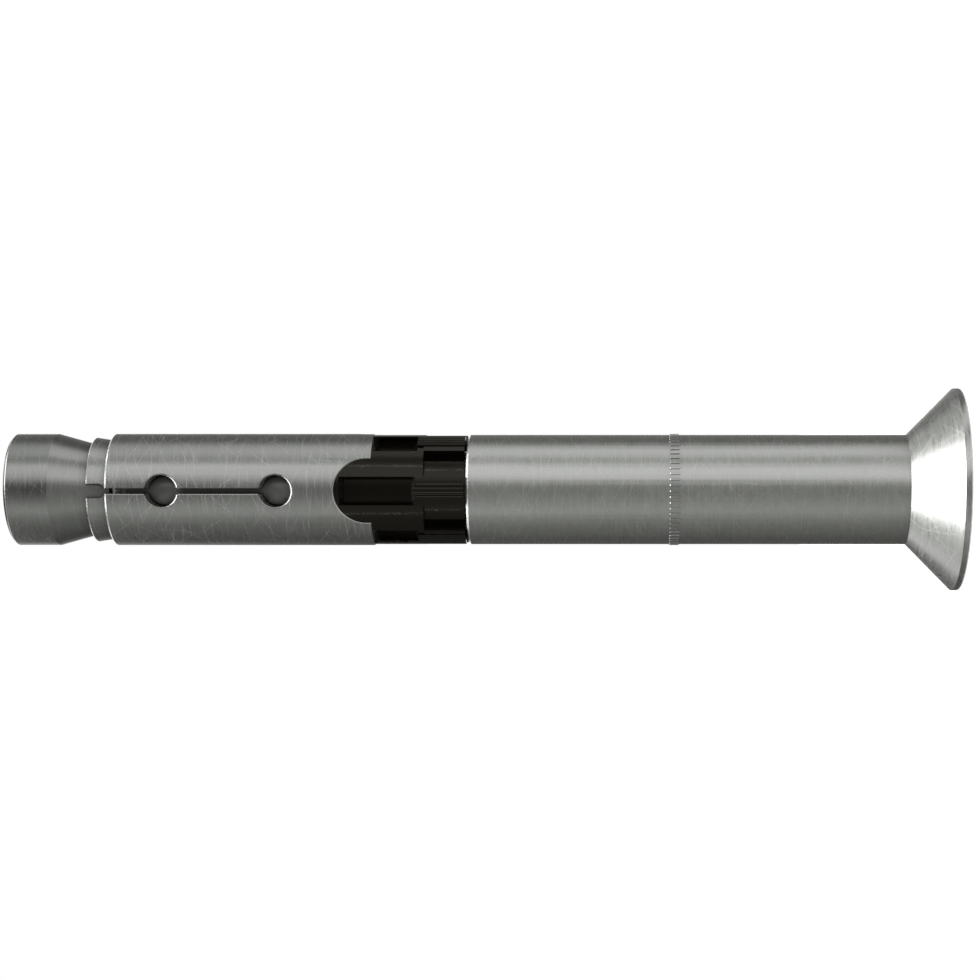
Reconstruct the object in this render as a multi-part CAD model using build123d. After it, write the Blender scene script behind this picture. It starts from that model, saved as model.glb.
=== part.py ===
from build123d import *
from math import tan, radians
import os

# Heavy-duty sleeve anchor for a 12 mm hole in concrete, with a countersunk M8 socket screw and 25 mm of
# fixture. It stands on its head: the origin is the middle of the head's flat face, +Z runs along the screw
# to the cone nut, and the slots, tongues and ribs start from the direction -Y. Sizes are in millimetres.
# Once in its hole, the screw draws the cone nut into the expansion sleeve, and the sleeve's segments spread.

# Screw
shank_radius = 4.0
thread_core_radius = 3.32
head_radius = 8.0
head_land = 0.4             # the short cylinder under the head's flat face
head_edge_break = 0.15
socket_across_flats = 5.0
socket_depth = 3.0
socket_chamfer = 0.2
thread_lead = 1.6           # thread that stands out below the cone nut
tip_recess = 1.0            # how far the screw's tip stays inside the cone nut
tip_chamfer = 0.6

# Clearance round the screw's shank, the same in the washer, both sleeves and the collar
shank_clearance = 0.2

# Countersunk washer
countersink_angle = 45.0    # half angle of the head, of its seat and of the washer's outer cone
washer_face_width = 2.6     # flat ring round the screw's head
washer_rim_height = 0.75
washer_edge_break = 0.12

# Distance sleeve
distance_sleeve_length = 47.55
distance_sleeve_wall = 1.76
distance_sleeve_chamfer = 0.24
depth_mark_height = 24.72   # from the washer to the knurled depth mark
depth_mark_length = 1.06
depth_mark_teeth = 60
depth_mark_relief = 0.1     # how far the knurl's teeth stand out
depth_mark_tooth_width = 0.3

# Collar
window_length = 4.37        # recesses at the distance sleeve's end
ring_width = 0.69           # full ring between the windows and the pockets
pocket_length = 4.93
tongue_pocket_delay = 0.15  # how much further up a tongue's pocket starts
pocket_ramp = 0.5
pocket_rise = 0.7           # the longer ramp at the end that meets the expansion sleeve
pocket_tip_wall = 0.57      # what is left of a tongue above its pocket
recess_depth = 0.9
recess_half_angle = 14.8
wall_relief = 0.1           # the walls between the windows stand out a little, and carry the ribs
rib_half_angle = 7.8        # four ridges side by side, with grooves between them
rib_relief = 0.24
rib_overrun = 0.44          # how far the inner ridges on a tongue run over the pocket's end
rib_groove_angle = 4.2      # from one groove to the next
rib_groove_half_angle = 0.5
rib_groove_depth = 0.14
nub_height = 0.22           # the nubs that keep the collar off the distance sleeve
nub_half_angle = 3.4
nub_wall = 0.8

# Expansion sleeve
expansion_sleeve_wall = 1.86
segments = 3                # slots, notches and tongues round the sleeve
notch_radius = 3.43         # rounded notch that takes a tongue of the collar
notch_depth = 3.92
tongue_clearance = 0.03
solid_band = 4.55           # uncut wall between a notch and the hole above it
relief_hole_radius = 1.65
relief_hole_spacing = 12.17
front_land = 6.03           # from the upper hole's middle to the step before the lip
slot_width = 0.6
step_height = 0.71          # how much thinner the lip starts
step_chamfer = 0.22
lip_length = 2.08
lip_edge_wall = 0.715
lip_chamfer = 0.17
lip_notch_width = 1.57
cut_edge_break = 0.1

# Cone nut
nut_cone_angle = 15.5
nut_wall = 2.05             # outside the screw's full radius
nut_cylinder_length = 4.73
nut_chamfer = 0.33
mouth_flare = 0.735         # how much the sleeve's bore opens where the cone enters
nose_flare = 0.11           # how much wider than the bore the cone's small end is
nut_mouth_clearance = 0.1

# Worked out from the sizes above: radii first, then heights from the head's face up
segment_angles = [i * 360 / segments for i in range(segments)]
bore_radius = shank_radius + shank_clearance
distance_sleeve_radius = bore_radius + distance_sleeve_wall
expansion_sleeve_radius = bore_radius + expansion_sleeve_wall
countersink_slope = tan(radians(countersink_angle))
seat_mouth_radius = head_radius + head_land * countersink_slope
washer_radius = seat_mouth_radius + washer_face_width
mouth_radius = bore_radius + mouth_flare
nose_radius = bore_radius + nose_flare
nut_radius = shank_radius + nut_wall
lip_root_radius = expansion_sleeve_radius - step_height
lip_front_radius = mouth_radius + lip_edge_wall
cone_slope = tan(radians(nut_cone_angle))

washer_top = washer_rim_height + (washer_radius - distance_sleeve_radius) / countersink_slope
distance_sleeve_top = washer_top + distance_sleeve_length
collar_bottom = distance_sleeve_top + nub_height
window_top = collar_bottom + window_length
pocket_bottom = window_top + ring_width
tongue_pocket_bottom = pocket_bottom + tongue_pocket_delay
shoulder = pocket_bottom + pocket_length
notch_top = shoulder + notch_depth
lower_hole = notch_top + solid_band + relief_hole_radius
upper_hole = lower_hole + relief_hole_spacing
lip_step = upper_hole + front_land
lip_front = lip_step + lip_length
cone_seat_bottom = lip_front - mouth_flare / cone_slope
nose = lip_front - (mouth_radius - nose_radius) / cone_slope
nut_shoulder = lip_front + (nut_radius - mouth_radius) / cone_slope
nut_top = nut_shoulder + nut_cylinder_length
thread_bottom = nose - thread_lead
screw_tip = nut_top - tip_recess
outside = expansion_sleeve_radius + 2.0     # a radius that clears every sleeve, for cutting tools

# Looks outwards along -Y: a sketch's x is the part's X, and its y is the height
front = Plane(origin=(0, 0, 0), x_dir=(1, 0, 0), z_dir=(0, -1, 0))


def half_section(*points):
    """A face beside the axis, from corners given as (radius, height)."""
    return Plane.XZ * make_face(Polyline(*points, close=True))


def ring_section(inner, outer, low, high):
    """A plain ring's half section."""
    return half_section((inner, low), (outer, low), (outer, high), (inner, high))


def turned(*points):
    """A piece turned on a lathe."""
    return revolve(half_section(*points), Axis.Z)


def sector(section, angle, half_angle):
    """A half section spun half_angle to each side of the direction that lies angle from -Y."""
    return Rot(Z=angle - 90 - half_angle) * revolve(section, Axis.Z, 2 * half_angle)


def around(tool, angles):
    """Copies of a tool turned about the axis."""
    return [Rot(Z=angle) * tool for angle in angles]


def arch(radius, top, bottom):
    """A sketch with a round top and straight sides."""
    middle = top - radius
    depth = middle - bottom
    sides = Pos(0, middle - depth / 2) * Rectangle(2 * radius, depth)
    return Pos(0, middle) * Circle(radius) + sides


def outer_cut_edges(piece, radius, low, high):
    """The edges that slots, holes and notches leave on a cylinder of this radius, between two heights."""
    def on_cylinder(edge):
        points = [edge @ t for t in (0, 0.31, 0.5, 0.77, 1)]
        return all(abs((p.X ** 2 + p.Y ** 2) ** 0.5 - radius) < 0.001 for p in points)

    def level(edge):
        return edge.bounding_box().size.Z < 0.001

    edges = piece.edges().filter_by(on_cylinder).filter_by(lambda edge: not level(edge))
    return edges.filter_by(lambda edge: low < edge.center().Z < high)


def make_washer():
    """Conical washer: flat face, short rim, outer cone down to the sleeve's size, seat for the head."""
    seat_bottom = (seat_mouth_radius - bore_radius) / countersink_slope
    washer = turned(
        (seat_mouth_radius, 0),
        (washer_radius, 0),
        (washer_radius, washer_rim_height),
        (distance_sleeve_radius, washer_top),
        (bore_radius, washer_top),
        (bore_radius, seat_bottom),
    )
    face_edge = washer.edges().filter_by(GeomType.CIRCLE).group_by(Axis.Z)[0].sort_by(SortBy.RADIUS)[-1]
    return chamfer(face_edge, washer_edge_break)


def make_screw():
    """Countersunk screw: its thread is left as the core that the nut's bore also has."""
    head_height = head_land + (head_radius - shank_radius) / countersink_slope
    runout = thread_bottom + shank_radius - thread_core_radius
    screw = turned(
        (0, 0),
        (head_radius - head_edge_break, 0),
        (head_radius, head_edge_break),
        (head_radius, head_land),
        (shank_radius, head_height),
        (shank_radius, thread_bottom),
        (thread_core_radius, runout),
        (thread_core_radius, screw_tip - tip_chamfer),
        (thread_core_radius - tip_chamfer, screw_tip),
        (0, screw_tip),
    )
    hexagon = RegularPolygon(socket_across_flats / 2, 6, major_radius=False)
    corner_radius = socket_across_flats / 3 ** 0.5
    lead_in = Cone(corner_radius + socket_chamfer, corner_radius, socket_chamfer,
                   align=(Align.CENTER, Align.CENTER, Align.MIN))
    drill_tip = Pos(0, 0, socket_depth) * Cone(socket_across_flats / 2, 0, socket_across_flats / 4,
                                               align=(Align.CENTER, Align.CENTER, Align.MIN))
    return screw - extrude(hexagon, socket_depth) - lead_in - drill_tip


def make_distance_sleeve():
    """Plain tube with a chamfered upper end and a short knurled band as a depth mark."""
    sleeve = turned(
        (bore_radius, washer_top),
        (distance_sleeve_radius, washer_top),
        (distance_sleeve_radius, distance_sleeve_top - distance_sleeve_chamfer),
        (distance_sleeve_radius - distance_sleeve_chamfer, distance_sleeve_top),
        (bore_radius, distance_sleeve_top),
    )
    root = distance_sleeve_radius - depth_mark_relief
    crest = distance_sleeve_radius + depth_mark_relief
    half_root = depth_mark_tooth_width / 2
    half_crest = half_root / 2
    tooth = make_face(Polyline((root, -half_root), (crest, -half_crest),
                               (crest, half_crest), (root, half_root), close=True))
    tooth = Pos(0, 0, washer_top + depth_mark_height) * extrude(tooth, depth_mark_length)
    return sleeve + around(tooth, [i * 360 / depth_mark_teeth for i in range(depth_mark_teeth)])


def pocket_section(bottom, top, rise):
    """A pocket's half section, with a ramp at both ends."""
    floor = distance_sleeve_radius - recess_depth
    return half_section((floor, bottom + pocket_ramp), (distance_sleeve_radius, bottom), (outside, bottom),
                        (outside, top), (distance_sleeve_radius, top), (floor, top - rise))


def make_rib(angle, top):
    """Four ridges on a raised wall between two windows, and the nub at the wall's lower end."""
    inside = distance_sleeve_radius - recess_depth / 2
    crest = distance_sleeve_radius + rib_relief
    wall_half_angle = 180 / segments / 2 - recess_half_angle
    wall = ring_section(inside, distance_sleeve_radius + wall_relief, collar_bottom, window_top)
    outer_ridges = ring_section(inside, crest, collar_bottom, pocket_bottom)
    inner_ridges = ring_section(inside, crest, collar_bottom, top)
    groove = ring_section(crest - rib_groove_depth, outside, collar_bottom, top)
    nub = ring_section(bore_radius + nub_wall, distance_sleeve_radius, distance_sleeve_top, collar_bottom)
    rib = sector(outer_ridges, angle, rib_half_angle) + sector(inner_ridges, angle, rib_groove_angle)
    rib -= [sector(groove, angle + step * rib_groove_angle, rib_groove_half_angle) for step in (-1, 0, 1)]
    return sector(wall, angle, wall_half_angle) + rib + sector(nub, angle, nub_half_angle)


def make_collar():
    """Moulded collar: windows and pockets alternate round it, and its tongues fill the sleeve's notches."""
    collar = revolve(ring_section(bore_radius, distance_sleeve_radius, collar_bottom, shoulder), Axis.Z)
    tongue_ring = revolve(ring_section(bore_radius, distance_sleeve_radius, shoulder, notch_top), Axis.Z)
    outline = arch(notch_radius - tongue_clearance, notch_top - tongue_clearance, shoulder - pocket_length)
    tongue = tongue_ring & extrude(front * outline, outside)
    collar += around(tongue, segment_angles)

    window = ring_section(distance_sleeve_radius - recess_depth, outside, distance_sleeve_top, window_top)
    tongue_pocket = pocket_section(tongue_pocket_bottom, notch_top - pocket_tip_wall, pocket_ramp)
    pocket = pocket_section(pocket_bottom, shoulder, pocket_rise)
    half_pitch = 180 / segments / 2
    for angle in segment_angles:
        collar -= sector(tongue_pocket, angle, recess_half_angle)
        collar -= sector(pocket, angle + 2 * half_pitch, recess_half_angle)
        collar -= [sector(window, angle + side * half_pitch, recess_half_angle) for side in (1, 3)]
    for angle in segment_angles:
        collar += make_rib(angle, pocket_bottom + rib_overrun)
        collar += make_rib(angle + 2 * half_pitch, pocket_bottom)
    return collar


def make_expansion_sleeve():
    """Tube with a thin lip: slots end in round holes, and notches at the other end take the tongues."""
    sleeve = turned(
        (bore_radius, shoulder),
        (expansion_sleeve_radius, shoulder),
        (expansion_sleeve_radius, lip_step - step_chamfer),
        (expansion_sleeve_radius - step_chamfer, lip_step),
        (lip_root_radius, lip_step),
        (lip_front_radius, lip_front - lip_chamfer),
        (lip_front_radius - lip_chamfer, lip_front),
        (mouth_radius, lip_front),
        (bore_radius, cone_seat_bottom),
    )
    overshoot = 1.0
    slot_length = lip_front + overshoot - lower_hole
    slot = Pos(0, lower_hole + slot_length / 2) * Rectangle(slot_width, slot_length)
    lip_notch = Pos(0, lip_step + lip_length) * SlotOverall(2 * lip_length, lip_notch_width, rotation=90)
    holes = [Pos(0, height) * Circle(relief_hole_radius) for height in (lower_hole, upper_hole)]
    notch = arch(notch_radius, notch_top, shoulder - overshoot)
    cut = extrude(front * (slot + holes + lip_notch + notch), outside)
    sleeve -= around(cut, segment_angles)
    return chamfer(outer_cut_edges(sleeve, expansion_sleeve_radius, shoulder, lip_step), cut_edge_break)


def make_cone_nut():
    """Cone nut: a short cylinder, and a cone whose small end stands inside the expansion sleeve."""
    mouth = shank_radius + nut_mouth_clearance
    return turned(
        (thread_core_radius, nose),
        (nose_radius, nose),
        (nut_radius, nut_shoulder),
        (nut_radius, nut_top - nut_chamfer),
        (nut_radius - nut_chamfer, nut_top),
        (mouth, nut_top),
        (thread_core_radius, nut_top - (mouth - thread_core_radius)),
    )


pieces = {
    "countersunk_washer": make_washer(),
    "countersunk_screw": make_screw(),
    "distance_sleeve": make_distance_sleeve(),
    "collapsible_collar": make_collar(),
    "expansion_sleeve": make_expansion_sleeve(),
    "cone_nut": make_cone_nut(),
}

os.makedirs("parts", exist_ok=True)
for name, piece in pieces.items():
    export_step(piece, f"parts/{name}.step")
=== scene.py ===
"""The looks of the sleeve anchor: its camera, stage and lights, its finishes, and the screw's thread."""

import math

import bpy
from mathutils import Matrix, Vector


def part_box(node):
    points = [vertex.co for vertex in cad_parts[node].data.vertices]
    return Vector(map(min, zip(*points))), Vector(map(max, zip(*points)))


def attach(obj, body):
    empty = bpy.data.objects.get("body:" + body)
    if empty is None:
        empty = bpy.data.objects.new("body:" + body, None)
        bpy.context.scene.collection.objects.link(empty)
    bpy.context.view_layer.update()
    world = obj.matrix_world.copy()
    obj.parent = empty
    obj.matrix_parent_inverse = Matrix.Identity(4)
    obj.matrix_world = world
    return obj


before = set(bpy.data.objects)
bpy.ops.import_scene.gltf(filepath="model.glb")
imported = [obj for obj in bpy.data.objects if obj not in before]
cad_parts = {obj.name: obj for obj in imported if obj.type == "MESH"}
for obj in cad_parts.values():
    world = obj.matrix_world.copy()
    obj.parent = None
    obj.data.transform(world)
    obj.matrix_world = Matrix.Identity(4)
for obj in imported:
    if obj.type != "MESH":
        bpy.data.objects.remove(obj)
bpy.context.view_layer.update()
scene = bpy.context.scene
MM = 0.001


# Camera. It looks at the anchor from the side, rolled so that the anchor's axis runs across the picture.

PICTURE = 980                           # pixels each way
LENS_COLUMN, LENS_ROW = 627.5, 629.6    # the pixel that the lens points at
LENS_PIXELS = 2184                      # the lens's length, in pixels
HEAD_COLUMN, AXIS_ROW = 957.8, 489.6    # where the anchor's axis meets the head's face
MM_PER_PIXEL = 0.10924                  # at the anchor's axis
CAMERA_AZIMUTH = math.radians(5.2)      # from -Y towards +X
SENSOR_WIDTH = 36
CLIP_START = 0.01


def add_camera():
    camera = bpy.data.objects.new("camera", bpy.data.cameras.new("camera"))
    scene.collection.objects.link(camera)
    away = Vector((math.sin(CAMERA_AZIMUTH), -math.cos(CAMERA_AZIMUTH), 0))
    right = Vector((0, 0, -1))
    up = away.cross(right)
    pixel = MM_PER_PIXEL * MM
    place = away * (LENS_PIXELS * pixel)
    place += up * ((AXIS_ROW - LENS_ROW) * pixel)
    place += right * ((LENS_COLUMN - HEAD_COLUMN) * pixel)
    camera.matrix_world = Matrix.LocRotScale(place, Matrix((right, up, away)).transposed(), None)
    camera.data.sensor_width = SENSOR_WIDTH
    camera.data.lens = LENS_PIXELS / PICTURE * SENSOR_WIDTH
    camera.data.clip_start = CLIP_START
    camera.data.shift_x = (PICTURE / 2 - LENS_COLUMN) / PICTURE
    camera.data.shift_y = (LENS_ROW - PICTURE / 2) / PICTURE
    scene.camera = camera


# Shader maths.

class Field:
    """A node's output: a value, colour or vector over a surface. Sums on it add Math nodes."""

    def __init__(self, shader, socket):
        self.shader = shader
        self.socket = socket

    def math(self, operation, *others, clamp=False):
        values = dict(enumerate((self, *others)))
        return self.shader.node("Math", {"operation": operation, "use_clamp": clamp}, values)

    def __add__(self, other):
        return self.math("ADD", other)

    def __sub__(self, other):
        return self.math("SUBTRACT", other)

    def __rsub__(self, other):
        return self.math("MULTIPLY_ADD", -1, other)

    def __mul__(self, other):
        return self.math("MULTIPLY", other)

    def __truediv__(self, other):
        return self.math("DIVIDE", other)

    def __abs__(self):
        return self.math("ABSOLUTE")

    __radd__ = __add__
    __rmul__ = __mul__

    def step(self, low, high):
        """0 at low, 1 at high, with a soft rise between them; low may be the larger."""
        values = {"Value": self, "From Min": low, "From Max": high}
        return self.shader.node("MapRange", {"interpolation_type": "SMOOTHSTEP"}, values)

    def band(self, start, low, high, end):
        """1 from low to high, and softly down to 0 at start and at end."""
        return self.step(start, low) * self.step(end, high)


class Shader:
    """The node tree of a material or a world. Lengths in it are in mm, and heights are above the table."""

    def __init__(self, owner):
        owner.use_nodes = True
        self.tree = owner.node_tree
        self.tree.nodes.clear()

    def node(self, kind, settings=None, sockets=None, output=0):
        """Adds a node: first its settings, then its sockets' values or links. Gives one of its outputs."""
        new = self.tree.nodes.new("ShaderNode" + kind)
        for name, value in (settings or {}).items():
            if name == "stops":
                for _ in value[2:]:
                    new.color_ramp.elements.new(0.5)
                for element, (position, colour) in zip(new.color_ramp.elements, value):
                    element.position = position
                    element.color = (*colour, 1)
            else:
                setattr(new, name, value)
        for name, value in (sockets or {}).items():
            if isinstance(value, Field):
                self.tree.links.new(value.socket, new.inputs[name])
            else:
                is_colour = new.inputs[name].type == "RGBA"
                new.inputs[name].default_value = (*value, 1) if is_colour else value
        return Field(self, new.outputs[output])

    def finish(self, surface, output="OutputMaterial"):
        end = self.tree.nodes.new("ShaderNode" + output)
        self.tree.links.new(surface.socket, end.inputs["Surface"])

    def vector(self, x, y, z):
        return self.node("CombineXYZ", None, {0: x, 1: y, 2: z})

    def parts(self, vector):
        return [self.node("SeparateXYZ", None, {0: vector}, i) for i in range(3)]

    def scaled(self, vector, scale):
        """A colour or vector, times a value."""
        return self.node("VectorMath", {"operation": "SCALE"}, {0: vector, "Scale": scale})

    def times(self, vector, other):
        """Two colours or vectors, multiplied part by part."""
        return self.node("VectorMath", {"operation": "MULTIPLY"}, {0: vector, 1: other})

    def mix(self, share, first, second):
        """The first colour where share is 0, and the second where it is 1."""
        return self.node("Mix", {"data_type": "RGBA"}, {0: share, 6: first, 7: second}, 2)

    def place(self):
        """Where a point lies, as a vector in mm."""
        return self.scaled(self.node("TexCoord", output="Object"), 1 / MM)

    def round_axis(self):
        """A point's distance from the axis, its angle in radians from -Y towards +X, and its height."""
        x, y, z = self.parts(self.place())
        return (x * x + y * y).math("SQRT"), x.math("ARCTAN2", y * -1), z

    def noise(self, lumps, detail=2.0, roughness=0.5):
        """Noise from about -0.5 to 0.5, with so many lumps a mm along x, y and z."""
        place = self.times(self.place(), lumps)
        values = {"Vector": place, "Scale": 1.0, "Detail": detail, "Roughness": roughness}
        return self.node("TexNoise", None, values) - 0.5

    def along_axis(self, normal):
        """How far a normal turns from sideways, 0, to the axis's direction, 1."""
        return abs(self.parts(normal)[2])

    def bump(self, height, unit):
        """The normal of a surface that is raised by height, which is counted in units of so many mm."""
        return self.node("Bump", None, {"Strength": 1.0, "Distance": unit * MM, "Height": height})


def new_material(name):
    material = bpy.data.materials.new(name)
    return material, Shader(material)


# Stage and lights, in m. Angles are in degrees about the anchor's axis, from -Y towards +X.

WHITE = (1, 1, 1)
WORLD_LIGHT = 0.6           # the world's brightness where its white isn't seen
SLIT = 0.00003              # keeps the table top, the head's face and the cards out of one plane
TABLE_RADIUS = 0.22
TABLE_SIDES = 96
TABLE_GLOW = 0.8            # what the table top adds of its own where the background is seen
TABLE_GREY = (0.5, 0.5, 0.5)

CARD_RADIUS = 0.42
CARD_HEIGHT = 0.6
CARD_STEPS = 120
BACKDROP_HALF_ANGLE = 14    # of the gap between the cards behind the anchor
CARD_TINT = (0.97, 1.0, 0.92)
# The brightness of the cards round the anchor, by angle, at three heights. The steel shows them as bands.
LOW_CARDS = [
    (-180, 0.11), (-125, 0.105), (-95, 0.17), (-66, 0.25), (-50, 0.36), (-43, 0.43), (-34, 0.38),
    (-10, 0.27), (8, 0.24), (17, 0.37), (25, 0.83), (33, 0.93), (50, 0.84), (62, 0.38), (70, 0.42),
    (78, 0.82), (93, 0.78), (102, 0.61), (112, 0.21), (125, 0.14), (180, 0.27),
]
MIDDLE_CARDS = [
    (-180, 0.4), (-152, 0.45), (-137, 0.11), (-110, 0.11), (-81, 0.165), (-60, 0.34), (-43, 0.54),
    (-30, 0.44), (-17, 0.22), (0, 0.065), (8, 0.07), (14, 0.11), (20, 0.27), (27, 0.63), (45, 0.96),
    (54, 0.7), (61, 0.37), (69, 0.37), (77, 0.63), (95, 0.59), (103, 0.5), (113, 0.26), (125, 0.12),
    (150, 0.2), (180, 0.3),
]
HIGH_CARDS = [
    (-180, 0.9), (-141, 1.2), (-127, 0.8), (-112, 0.55), (-70, 0.25), (-43, 0.3), (-25, 0.15), (10, 0.1),
    (25, 0.85), (50, 0.7), (62, 0.35), (78, 0.5), (102, 0.45), (125, 0.48), (145, 0.55), (180, 0.9),
]
LOW_TO_MIDDLE = (90, 215)   # heights in mm between which one row of cards blends into the next
MIDDLE_TO_HIGH = (226, 246)
RIM_CLEARANCE = 0.0002      # from the washer's rim to the card that lies on the table
BESIDE_RIM = (50, 15)       # mm from the axis: there that card's greys begin to twist, and twist most
RIM_TWIST = 0.7             # how much further round they are taken from there, as a share of the angle

CEILING = 0.6
CEILING_HOLE = 0.001
TOP_BOX = [(-0.3, -0.41), (0.1, -0.41), (0.25, -0.3), (0.27, 0.3), (0.02, 0.3), (0.01, 0.1), (-0.36, -0.14)]
TOP_BOX_HEIGHT = 0.5
TOP_LIGHT = 4
STRIP_RADIUS = 0.4
STRIP_WIDTH = 1             # degrees
STRIP_STEPS = 4
# Upright lights at the height that mostly the collar reflects: angle, foot, top and brightness.
STRIPS = [(-49.3, 0.08, 0.125, 2.5), (50.9, 0.08, 0.19, 3.8)]


def seen(shader):
    """1 for a ray that shows the white background: to the camera, in gloss and through glass."""
    rays = [shader.node("LightPath", None, None, name) for name in
            ("Is Camera Ray", "Is Glossy Ray", "Is Transmission Ray")]
    return (rays[0] + rays[1]).math("ADD", rays[2], clamp=True)


def glowing(name, colour, brightness):
    """A material for a light or a card of one brightness."""
    material, shader = new_material(name)
    shader.finish(shader.node("Emission", None, {"Color": colour, "Strength": brightness}))
    return material


def link_mesh(name, points, faces, material):
    mesh = bpy.data.meshes.new(name)
    mesh.from_pydata(points, [], faces)
    mesh.materials.append(material)
    piece = bpy.data.objects.new(name, mesh)
    scene.collection.objects.link(piece)
    return piece


def card_ring(name, profile, start, end, material, steps=CARD_STEPS):
    """A card bent round the axis from its section, which is given as pairs of radius and height."""
    angles = [math.radians(start + (end - start) * i / steps) for i in range(steps + 1)]
    points = [(r * math.sin(a), -r * math.cos(a), z) for a in angles for r, z in profile]
    n = len(profile)
    faces = [(n * i + j, n * (i + 1) + j, n * (i + 1) + j + 1, n * i + j + 1)
             for i in range(steps) for j in range(n - 1)]
    card = link_mesh(name, points, faces, material)
    card.visible_camera = card.visible_diffuse = card.visible_shadow = False


def add_table():
    """A round white table top, which takes the anchor's shadow. From below it is clear."""
    material, shader = new_material("white_table")
    glow = shader.node("Emission", None, {"Color": WHITE, "Strength": seen(shader) * TABLE_GLOW})
    matt = shader.node("BsdfDiffuse", None, {"Color": TABLE_GREY})
    top = shader.node("AddShader", None, {0: glow, 1: matt})
    from_below = shader.node("NewGeometry", output="Backfacing")
    clear = shader.node("BsdfTransparent", None, {"Color": WHITE})
    shader.finish(shader.node("MixShader", None, {0: from_below, 1: top, 2: clear}))
    ring = [math.tau * i / TABLE_SIDES for i in range(TABLE_SIDES)]
    points = [(TABLE_RADIUS * math.cos(a), TABLE_RADIUS * math.sin(a), -SLIT) for a in ring]
    link_mesh("floor", points, [list(range(TABLE_SIDES))], material)


def grey_cards():
    """The cards' greys, by angle and height. The darker a grey is, the more it takes of the tint."""
    material, shader = new_material("grey_cards")
    radius, angle, z = shader.round_axis()
    share = angle / math.tau * (radius.step(*BESIDE_RIM) * RIM_TWIST + 1) + 0.5
    rows = []
    for cards in (LOW_CARDS, MIDDLE_CARDS, HIGH_CARDS):
        stops = [((degrees + 180) / 360, (grey, grey, grey)) for degrees, grey in cards]
        rows.append(shader.node("ValToRGB", {"stops": stops}, {0: share}))
    low, middle, high = rows
    greys = shader.mix(z.step(*LOW_TO_MIDDLE), low, middle)
    greys = shader.mix(z.step(*MIDDLE_TO_HIGH), greys, high)
    colour = shader.times(greys, shader.mix(greys, CARD_TINT, WHITE))
    shader.finish(shader.node("Emission", None, {"Color": colour, "Strength": 1}))
    return material


def add_cards():
    """Cards on the table, round the anchor and over it, which only gloss shows."""
    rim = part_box("countersunk_washer")[1].x + RIM_CLEARANCE
    wall = [(rim, SLIT), (CARD_RADIUS, SLIT), (CARD_RADIUS, CARD_HEIGHT)]
    ceiling = [(CEILING_HOLE, CARD_HEIGHT), (CARD_RADIUS, CARD_HEIGHT)]
    end = 180 - BACKDROP_HALF_ANGLE
    card_ring("wall_card", wall, -end, end, grey_cards())
    card_ring("ceiling_card", ceiling, -180, 180, glowing("ceiling_card", CARD_TINT, CEILING))


def add_strips():
    """Narrow upright lights, which draw thin lines down the plastic."""
    for i, (start, foot, top, brightness) in enumerate(STRIPS):
        light = glowing(f"strip_light_{i}", WHITE, brightness)
        profile = [(STRIP_RADIUS, foot), (STRIP_RADIUS, top)]
        card_ring(f"strip_{i}", profile, start, start + STRIP_WIDTH, light, STRIP_STEPS)


def add_top_box():
    """The overhead softbox."""
    corners = [(x, y, TOP_BOX_HEIGHT) for x, y in TOP_BOX]
    light = glowing("top_light", WHITE, TOP_LIGHT)
    box = link_mesh("top_box", corners, [range(len(corners))], light)
    box.visible_camera = False


def add_world():
    """White where it is seen, and a plain soft light elsewhere."""
    world = bpy.data.worlds.new("studio")
    scene.world = world
    shader = Shader(world)
    strength = seen(shader) * (1 - WORLD_LIGHT) + WORLD_LIGHT
    shader.finish(shader.node("Background", None, {"Color": WHITE, "Strength": strength}), "OutputWorld")


def add_stage():
    add_table()
    add_cards()
    add_world()
    add_top_box()
    add_strips()


# Finishes. Lengths are in mm. Pairs and fours of values are the bounds of soft steps and bands.

# What each pattern adds to a finish: to the bump's height in units, the lightness and the roughness.
STREAKS = {"height": 1.0, "light": 0.16, "roughness": 0.1}      # the marks of turning
GRAIN = {"height": 0.3, "light": 0.06, "roughness": 0}
BLOTCHES = {"height": 0, "light": 0.18, "roughness": 0.1}
SCRATCHES = {"height": -0.2, "light": 0.4, "roughness": 0.18}
MOULDED_SKIN = {"height": 0.8, "light": 0.2, "roughness": 0.1}
MOULDED_GRAIN = {"height": 0.6, "light": 0.3, "roughness": 0}
STEEL_BUMP = 0.004          # one unit of the bump's height
PLASTIC_BUMP = 0.012
# How many lumps a mm each pattern has along x, y and z.
STREAK_LUMPS = (0.4, 0.4, 7)
GRAIN_LUMPS = (3, 3, 6)
BLOTCH_LUMPS = (0.9, 0.9, 0.9)
SKIN_LUMPS = (1.2, 1.2, 1.2)
SKIN_GRAIN_LUMPS = (5, 5, 5)

# Grids of scratches: the length and pitch of their cells, the scratches' width, the degrees by which they
# lean from straight round the piece, and the share of the cells that have one.
SCRATCH_GRIDS = [
    (5.0, 0.9, 0.03, 6, 0.5), (6.0, 1.1, 0.03, 170, 0.5), (4.0, 1.0, 0.03, 24, 0.4),
    (5.0, 1.2, 0.03, 152, 0.4), (4.0, 1.3, 0.03, 48, 0.35), (4.0, 1.4, 0.03, 128, 0.35),
    (3.0, 0.8, 0.025, 0, 0.5), (5.0, 1.8, 0.03, 80, 0.3),
]
SCRATCH_SHIFT = 0.6         # how widely scratches lie beside their cells' middles, in pitches
SCRATCH_SLOPE = 0.5
SCRATCH_BEND = 1.6
SCRATCH_ENDS = (0.5, 0.25)  # from a scratch's middle, in lengths of its cell
SCRATCH_CORE = 0.3          # the share of its width that shows fully
SCRATCH_DEEP = 0.4          # the share of the scratches that show fully

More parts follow.
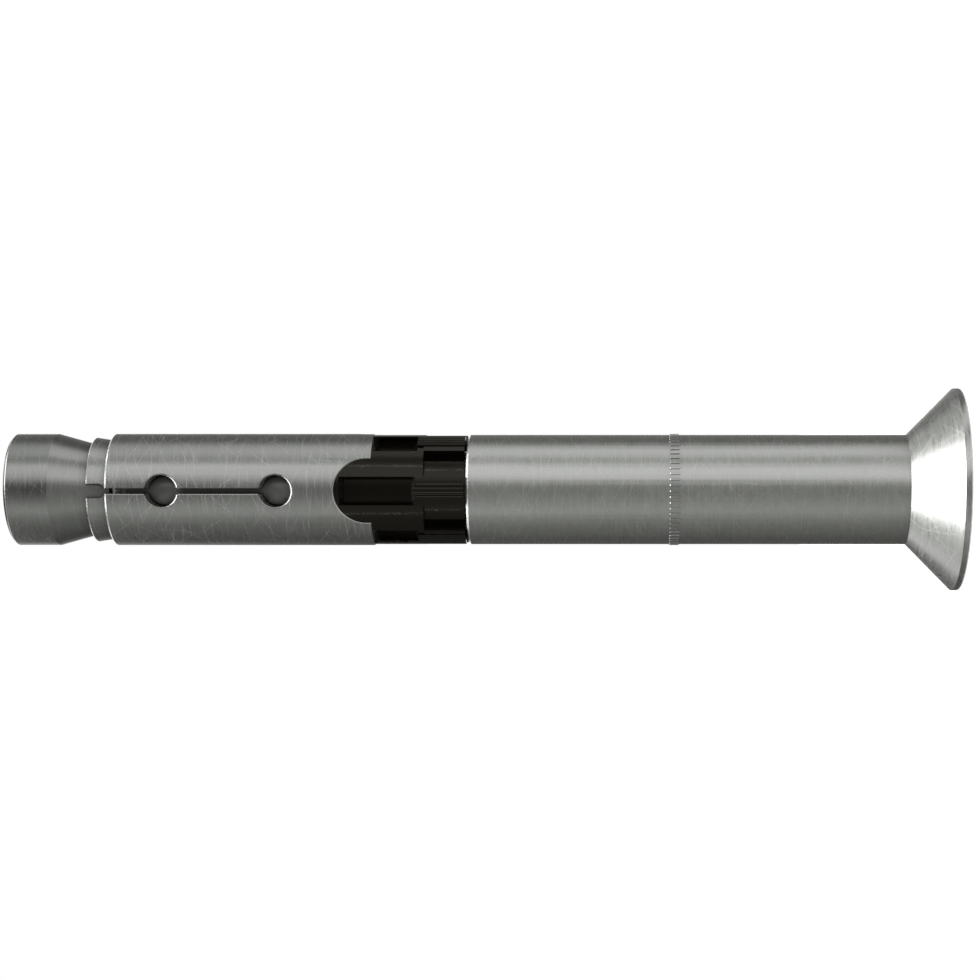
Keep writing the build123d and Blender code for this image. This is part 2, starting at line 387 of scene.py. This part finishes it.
FLAT_END = (0.8, 0.9)                   # along_axis of a flat end's normal
CHAMFER = (0.5, 0.6, 0.8, 0.9)          # how much of a chamfer's normal points straight outwards
# Painted shade: the steel's colour is darkened in recesses by ambient occlusion.
PAINTED_SHADE_REACH = 1.2
PAINTED_SHADE_KEEPS = 0.15         # what a deep recess keeps of its colour under the painted shade
BY_TABLE = (4, 2)           # heights; down there the painted shade of recesses stops, because the table is no recess
# Painted shade on the cone nut's end chamfer, darkest towards its small end.
TIP_SHADE_SPAN = (0.02, 0.17)     # inwards from the cone nut's cylinder: where the painted shade on its end chamfer rises
TIP_SHADE_STRENGTH = 0.95

DEPTH_MARK_END = 25.78      # above the distance sleeve's lower end
TOOTH_FLANK = (0.08, 0.03)  # inwards from the crest of the depth mark's teeth
TOOTH_END = 0.08            # length of the slope at the end of each tooth
TOOTH_END_SLOPE = 0.88
HOLE_FROM_FRONT = 8.11      # from the expansion sleeve's front end to the middle of its upper relief holes
HOLE_SPACING = 12.17
HOLE_RIM_RADIUS = 1.9
HOLE_RIM_CURVE = 2.8        # how far the rim's rounding drops, for each square mm
SEGMENT_HALF_ANGLE = 60     # of the expansion sleeve's three segments, in degrees

RIB_HALF_PITCH = 30         # this and the next two are degrees round the collar
RIB_EDGE = (8.6, 8.2)       # from a rib's middle
RIDGE_PITCH = 4.2           # from one ridge of a rib to the next
RIB_WALL = (6.03, 6.05)     # distances from the axis, as are those of the ridge and the pocket floor
RIDGE = (6.08, 6.14)
RIDGE_BUMP = 2.4
GROOVE = (0.5, 0.8)         # of the wave that makes the ridges
GROOVE_ROUGHNESS = 0.8
RAMP = (0.6, 0.7, 0.92, 0.97)           # along_axis of a pocket ramp's normal
# Painted light: the pockets' ramps are coloured lighter than the plastic.
RAMP_PAINTED_LIGHT = (0.008, 0.007, 0.006)
POCKET_FLOOR = (5.5, 5.3)
WINDOWS_END = (4.4, 4.9)    # above the collar's lower end
POCKET_COLOUR = (0.006, 0.005, 0.004)
POCKET_DULLNESS = 0.6


def add_up(patterns, effect, start):
    """start, plus what each pattern adds to that effect."""
    for pattern, effects, amount in patterns:
        if effects[effect]:
            start = pattern * (effects[effect] * amount) + start
    return start


def scratch_grid(shader, across, along, seed, length, pitch, width, degrees, share):
    """Thin scratches in some cells of a turned grid, each with its own place, slope and bend."""
    cos, sin = math.cos(math.radians(degrees)), math.sin(math.radians(degrees))
    run = (across * cos + along * sin) / length
    side = (along * cos - across * sin) / pitch
    cell = shader.vector(run.math("FLOOR"), side.math("FLOOR"), seed)
    chance = shader.node("TexWhiteNoise", None, {"Vector": cell}, 0)
    draws = shader.parts(shader.node("TexWhiteNoise", None, {"Vector": cell}, 1))
    shift, slope, bend = [draw - 0.5 for draw in draws]
    at = run.math("FRACT") - 0.5
    line = shift * SCRATCH_SHIFT + slope * at * SCRATCH_SLOPE + bend * at * at * SCRATCH_BEND
    gap = abs(side.math("FRACT") - 0.5 - line) * pitch
    scratch = gap.step(width, width * SCRATCH_CORE) * abs(at).step(*SCRATCH_ENDS)
    return scratch * chance.step(1 - share, 1 - share * SCRATCH_DEEP)


def scratches(shader, across, along):
    grids = [scratch_grid(shader, across, along, seed, *grid) for seed, grid in enumerate(SCRATCH_GRIDS, 1)]
    return sum(grids[1:], grids[0])


def chamfers(shader, x, y, normal):
    """1 on the chamfers of turned edges, which face about 45 degrees away from straight outwards."""
    outwards = shader.node("VectorMath", {"operation": "NORMALIZE"}, {0: shader.vector(x, y, 0)})
    facing = shader.node("VectorMath", {"operation": "DOT_PRODUCT"}, {0: outwards, 1: normal}, "Value")
    return facing.band(*CHAMFER)


def tooth_ends(radius, angle, z):
    """How far the bump lowers the upper ends of the depth mark's teeth."""
    low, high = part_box("distance_sleeve")
    on_tooth = (high.x / MM - radius).step(*TOOTH_FLANK)
    past_start = (z - (low.z / MM + DEPTH_MARK_END - TOOTH_END)).math("MAXIMUM", 0)
    return past_start * on_tooth * TOOTH_END_SLOPE


def hole_rims(radius, angle, z):
    """How far the bump lowers the wall round the relief holes, which rounds off their rims."""
    half = math.radians(SEGMENT_HALF_ANGLE)
    beside = angle.math("WRAP", half, -half).math("SINE") * radius
    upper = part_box("expansion_sleeve")[1].z / MM - HOLE_FROM_FRONT
    drop = 0
    for middle in (upper - HOLE_SPACING, upper):
        above = z - middle
        from_middle = (beside * beside + above * above).math("SQRT")
        inside_rim = (HOLE_RIM_RADIUS - from_middle).math("MAXIMUM", 0)
        drop = inside_rim * inside_rim * HOLE_RIM_CURVE + drop
    return drop


def turned_steel(name, colour, roughness, streak=1.0, speckle=1.0, mottle=1.0, scratch=1.0,
                 painted_edge_highlight=0.0, edge_blur=0.0, painted_recess_shade=True, paint_tip_shade=False, lowered=None):
    """Zinc-plated steel with fine turning marks, grain, soft blotches and light scratches, and with painted
    highlights on chamfers and painted shade on the cone nut's tip and in recesses.

    streak, speckle, mottle and scratch are the amounts of these four. lowered gives how far the bump lies
    under the solid, by a point's distance from the axis, angle and height.
    """
    material, shader = new_material(name)
    radius, angle, z = shader.round_axis()
    x, y, _ = shader.parts(shader.place())
    arc = angle * radius
    normal = shader.node("NewGeometry", output="True Normal")
    on_end = shader.along_axis(normal).step(*FLAT_END)
    across = arc + (x - arc) * on_end
    along = z + (y - z) * on_end
    patterns = [
        (shader.noise(STREAK_LUMPS), STREAKS, streak),
        (shader.noise(GRAIN_LUMPS, 3), GRAIN, speckle),
        (shader.noise(BLOTCH_LUMPS, 4, 0.6), BLOTCHES, mottle),
        (scratches(shader, across, along), SCRATCHES, scratch),
    ]
    height = add_up(patterns, "height", 0)
    if lowered:
        height = height - lowered(radius, angle, z) / STEEL_BUMP

    edge = chamfers(shader, x, y, normal)
    light = shader.scaled(colour, add_up(patterns, "light", 1))
    # Painted highlight: the chamfers' colour is mixed towards white.
    if painted_edge_highlight:
        light = shader.mix(edge * painted_edge_highlight, light, WHITE)
    # Painted shade: the cone nut's end chamfer is darkened towards its small end.
    if paint_tip_shade:
        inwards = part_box("cone_nut")[1].x / MM - radius
        light = shader.scaled(light, 1 - edge * inwards.step(*TIP_SHADE_SPAN) * TIP_SHADE_STRENGTH)
    # Painted shade: the colour is darkened in recesses by ambient occlusion, except on chamfers and by the
    # table.
    if painted_recess_shade:
        open_sky = shader.node("AmbientOcclusion", None, {"Distance": PAINTED_SHADE_REACH * MM}, "AO")
        kept = open_sky * (1 - PAINTED_SHADE_KEEPS) + PAINTED_SHADE_KEEPS
        light = shader.scaled(light, kept.math("MAXIMUM", edge).math("MAXIMUM", z.step(*BY_TABLE)))

    shader.finish(shader.node("BsdfPrincipled", None, {
        "Base Color": light, "Metallic": 1.0, "Normal": shader.bump(height, STEEL_BUMP),
        "Roughness": add_up(patterns, "roughness", edge * edge_blur + roughness),
    }))
    return material


def black_plastic(name, colour, roughness):
    """Moulded black plastic, half glossy and slightly uneven, with ridged ribs and dull pockets, and
    painted light on the pockets' ramps.
    """
    material, shader = new_material(name)
    radius, angle, z = shader.round_axis()
    patterns = [
        (shader.noise(SKIN_LUMPS), MOULDED_SKIN, 1),
        (shader.noise(SKIN_GRAIN_LUMPS, 1), MOULDED_GRAIN, 1),
    ]

    half = math.radians(RIB_HALF_PITCH)
    from_rib = angle.math("WRAP", half, -half)
    wave = (from_rib * (360 / RIDGE_PITCH)).math("COSINE")
    on_rib = radius.step(*RIB_WALL) * abs(from_rib).step(*[math.radians(degrees) for degrees in RIB_EDGE])
    grooves = wave.step(*GROOVE) * on_rib
    height = add_up(patterns, "height", 0) - wave * radius.step(*RIDGE) * RIDGE_BUMP

    normal = shader.node("NewGeometry", output="True Normal")
    on_ramp = shader.along_axis(normal).band(*RAMP)
    light = shader.scaled(colour, add_up(patterns, "light", 1))
    # Painted light: on the pockets' ramps the colour is lighter than the plastic's.
    skin = shader.node("BsdfPrincipled", None, {
        "Base Color": shader.mix(on_ramp, light, RAMP_PAINTED_LIGHT), "Normal": shader.bump(height, PLASTIC_BUMP),
        "Roughness": add_up(patterns, "roughness", grooves * GROOVE_ROUGHNESS + roughness),
        "Specular Tint": (1, 0.93, 0.8), "Specular IOR Level": 0.42,
    })
    dull = shader.node("BsdfDiffuse", None, {"Color": POCKET_COLOUR})
    above_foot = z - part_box("collapsible_collar")[0].z / MM
    in_pocket = radius.step(*POCKET_FLOOR) * above_foot.step(*WINDOWS_END)
    shader.finish(shader.node("MixShader", None, {0: in_pocket * POCKET_DULLNESS, 1: skin, 2: dull}))
    return material


def dress(node, material):
    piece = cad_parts[node]
    piece.data.materials.clear()
    piece.data.materials.append(material)


def add_finishes():
    dress("countersunk_washer", turned_steel(
        "washer_steel", (0.55, 0.555, 0.545), 0.3, streak=2.0, speckle=2.4, mottle=0.8, scratch=0.9,
        painted_recess_shade=False))
    dress("countersunk_screw", turned_steel("shank_steel", (0.31, 0.312, 0.306), 0.3, scratch=0.2))
    dress("distance_sleeve", turned_steel(
        "distance_sleeve_steel", (0.56, 0.565, 0.555), 0.28, scratch=0.5, painted_edge_highlight=1.0, edge_blur=0.32,
        lowered=tooth_ends))
    dress("collapsible_collar", black_plastic("collar_plastic", (0.001, 0.0008, 0.0005), 0.09))
    dress("expansion_sleeve", turned_steel(
        "expansion_sleeve_steel", (0.455, 0.459, 0.451), 0.28, painted_edge_highlight=0.35, lowered=hole_rims))
    dress("cone_nut", turned_steel(
        "cone_nut_steel", (0.4, 0.404, 0.396), 0.22, streak=1.2, speckle=0.6, mottle=0.6, scratch=0.5,
        paint_tip_shade=True))


# The screw's thread, a right-handed ridge on its core. It shows through the expansion sleeve's slots.

THREAD_PITCH = 1.25 * MM
THREAD_CORE = 3.3 * MM      # radii
THREAD_CREST = 3.98 * MM
THREAD_LEAD = 1.36 * MM     # how far under the cone nut it starts
THREAD_TURNS = 4
STEPS_A_TURN = 48
# The ridge's section: distances from the axis, and heights in pitches.
THREAD_SECTION = [(THREAD_CORE, -0.5), (THREAD_CREST, -0.1), (THREAD_CREST, 0.1), (THREAD_CORE, 0.5)]


def add_thread():
    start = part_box("cone_nut")[0].z - THREAD_LEAD
    steps = THREAD_TURNS * STEPS_A_TURN
    points = []
    for i in range(steps + 1):
        turns = i / STEPS_A_TURN
        cos, sin = math.cos(math.tau * turns), math.sin(math.tau * turns)
        points += [(r * cos, r * sin, start + (turns + rise) * THREAD_PITCH) for r, rise in THREAD_SECTION]
    n = len(THREAD_SECTION)
    faces = [(n * i + j, n * (i + 1) + j, n * (i + 1) + (j + 1) % n, n * i + (j + 1) % n)
             for i in range(steps) for j in range(n)]
    first_end = list(range(n))
    last_end = [n * steps + j for j in reversed(range(n))]
    # Painted light: the thread's steel is far lighter than the shank's, so that it shows bright inside the
    # slots.
    steel = turned_steel("thread_steel_painted_light", (0.95, 0.95, 0.94), 0.5, scratch=0.2, painted_recess_shade=False)
    thread = link_mesh("screw_thread", points, [*faces, first_end, last_end], steel)
    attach(thread, "root")


add_camera()
add_stage()
add_finishes()
add_thread()
scene.view_settings.view_transform = "Standard"
